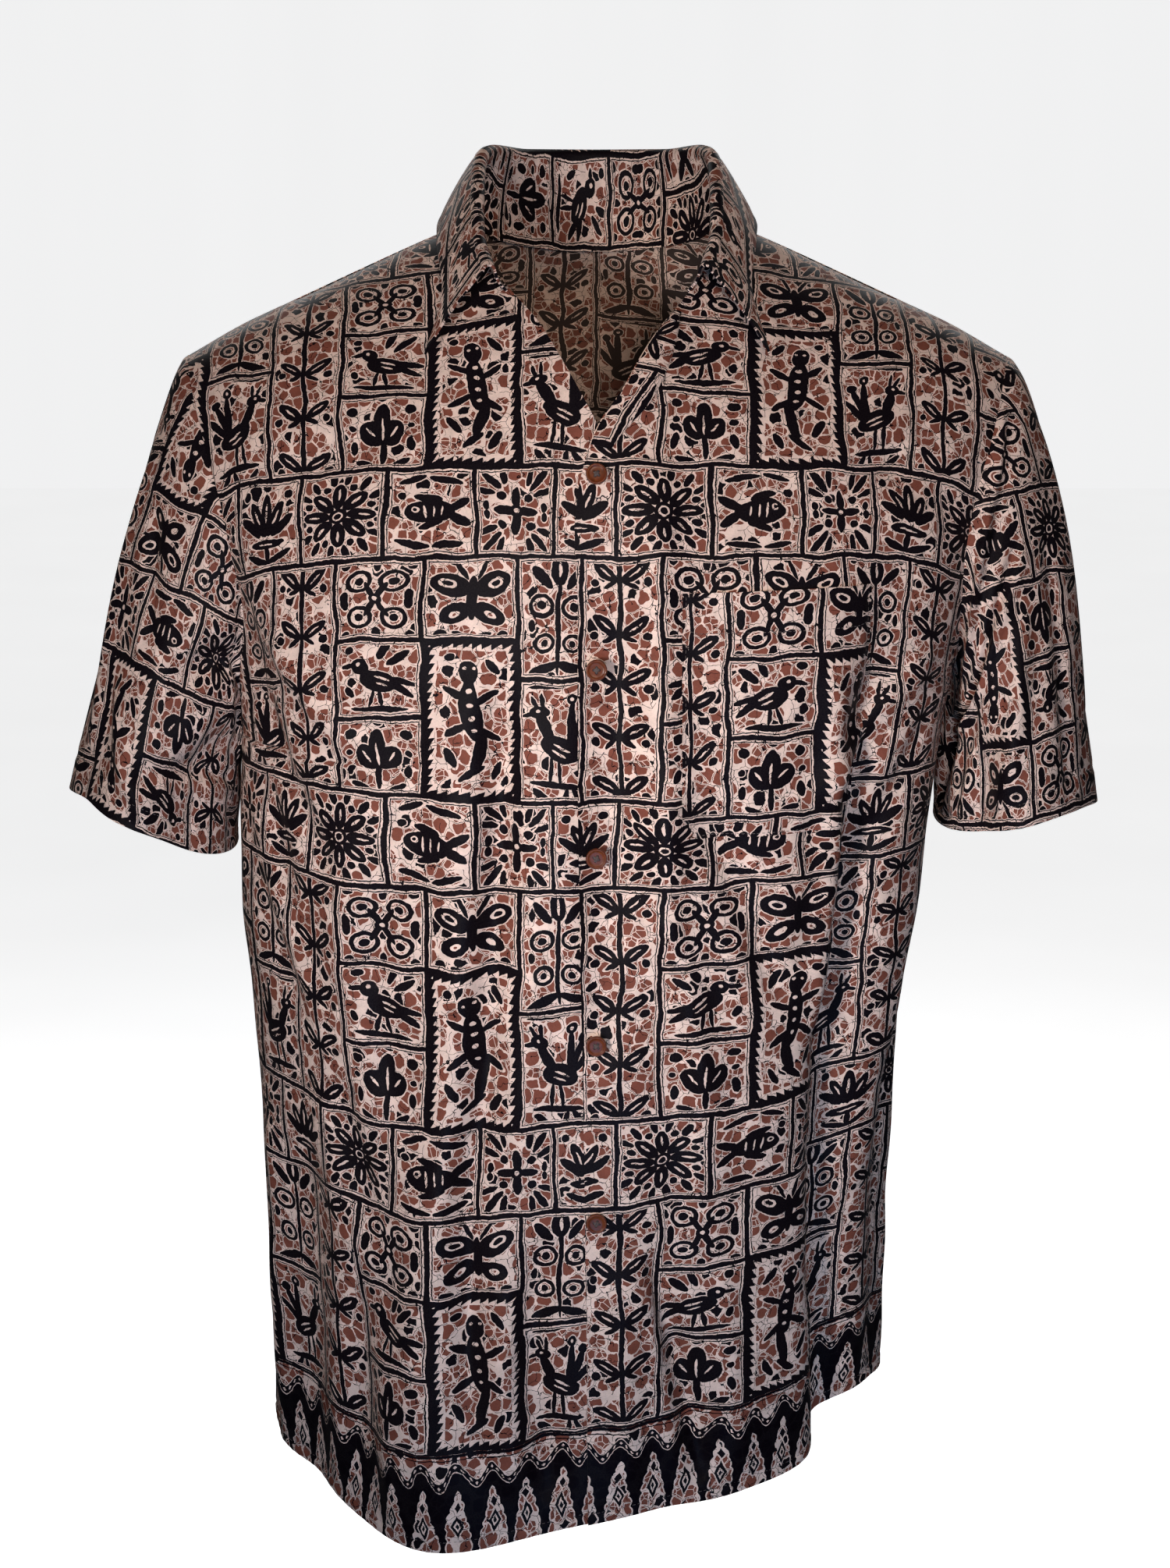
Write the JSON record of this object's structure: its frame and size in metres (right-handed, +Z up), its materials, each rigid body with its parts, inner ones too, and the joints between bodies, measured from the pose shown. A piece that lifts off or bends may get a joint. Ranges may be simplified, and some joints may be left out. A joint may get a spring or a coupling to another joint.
{
  "type": "batik shirt",
  "caption": "Short-sleeved buttoned shirt in patchwork batik cotton, hollow as worn, with an open camp collar, a rolled facing and a chest pocket.",
  "frame": {"origin": "middle of the neck opening, between the high points of the shoulders, where the shirt hangs on its wearer", "axes": "+Z up, towards the collar; the front faces -Y; +X is the wearer's left, the side with the pocket"},
  "size_m": [0.6069, 0.3096, 0.7929],
  "materials": {
    "batik_cotton": "matt plain-weave cotton with a batik print of tan, rust brown and blue-black",
    "amber_button": "translucent amber-brown resin, softly polished"
  },
  "bodies": {
    "root": {"back": "batik_cotton", "front_left": "batik_cotton", "front_right": "batik_cotton", "sleeve_left": "batik_cotton", "sleeve_right": "batik_cotton", "collar": "batik_cotton", "front_facing": "batik_cotton", "pocket": "batik_cotton", "button_1": "amber_button", "button_2": "amber_button", "button_3": "amber_button", "button_4": "amber_button", "button_5": "amber_button"}
  },
  "joints": []
}
